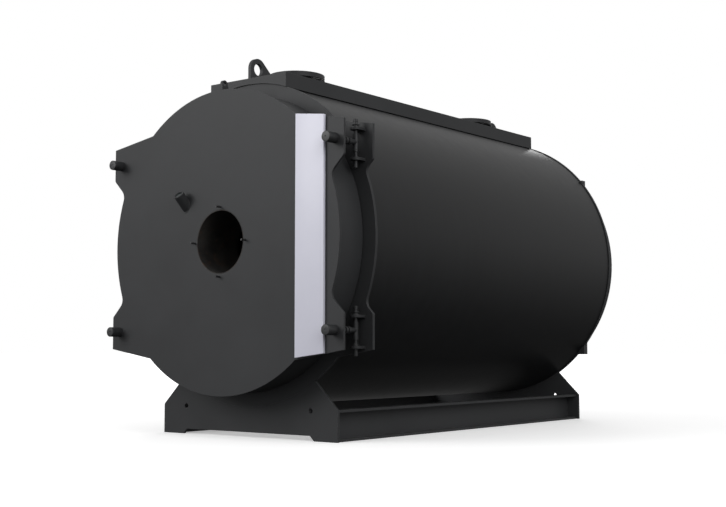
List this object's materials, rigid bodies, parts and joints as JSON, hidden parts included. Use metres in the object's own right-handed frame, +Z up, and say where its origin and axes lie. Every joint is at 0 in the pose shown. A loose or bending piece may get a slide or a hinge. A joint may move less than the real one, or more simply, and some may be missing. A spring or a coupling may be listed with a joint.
{
  "type": "industrial fire-tube boiler",
  "caption": "Horizontal fire-tube boiler on skid channels, with a round swing-open front door, burner opening, top pipe flanges, lifting eyes and a rear flue outlet.",
  "frame": {"origin": "on the floor, under the middle of the overall box", "axes": "+X to the right of someone who faces the door, +Y from the door to the rear, +Z up"},
  "size_m": [1.304, 2.386, 1.541],
  "materials": {
    "black_paint": "satin",
    "pale_paint": "satin",
    "black_jacket": "satin",
    "black_hardware": "satin",
    "fire_side_steel": "matte",
    "refractory": "matte",
    "rope_gasket": "matte",
    "sight_glass": "gloss"
  },
  "bodies": {
    "boiler": {"front_flange": "black_paint", "rear_flange": "black_paint", "front_saddle": "black_paint", "rear_saddle": "black_paint", "right_skid_channel": "black_paint", "left_skid_channel": "black_paint", "pressure_shell": "fire_side_steel", "front_tube_plate": "fire_side_steel", "rear_tube_plate": "fire_side_steel", "smoke_tubes": "fire_side_steel", "furnace_tube": "fire_side_steel", "furnace_end": "fire_side_steel", "smoke_box_cover": "black_paint", "cover_clamps": "black_paint", "flue_outlet": "black_paint", "top_duct": "black_paint", "flow_nozzle": "black_paint", "return_nozzle": "black_paint", "front_lifting_eye": "black_paint", "rear_lifting_eye": "black_paint", "upper_hinge_pin": "black_hardware", "lower_hinge_pin": "black_hardware", "hinge_lugs": "black_paint", "closing_lugs": "black_paint", "jacket_upper_right": "black_jacket", "jacket_upper_left": "black_jacket", "jacket_lower_right": "black_jacket", "jacket_lower_left": "black_jacket"},
    "door": {"door_plate": "black_paint", "door_rim": "black_paint", "door_lining": "refractory", "door_gasket": "rope_gasket", "door_panel": "pale_paint", "door_lifting_eye": "black_paint", "sight_tube": "black_paint", "sight_glass": "sight_glass", "burner_studs": "black_hardware", "lock_nuts": "black_hardware", "burner_throat": "fire_side_steel", "upper_hinge_eyebolt": "black_hardware", "upper_hinge_clamp_nut": "black_hardware", "upper_closing_eyebolt": "black_hardware", "upper_closing_clamp_nut": "black_hardware", "upper_closing_pin": "black_hardware", "lower_hinge_eyebolt": "black_hardware", "lower_hinge_clamp_nut": "black_hardware", "lower_closing_eyebolt": "black_hardware", "lower_closing_clamp_nut": "black_hardware", "lower_closing_pin": "black_hardware"}
  },
  "joints": [
    {"name": "door_swing", "type": "hinge", "parent": "boiler", "child": "door", "pos_m": [0.583, -1.01504, 0.7725], "axis": [0, 0, 1], "range_deg": [0, 100]}
  ]
}
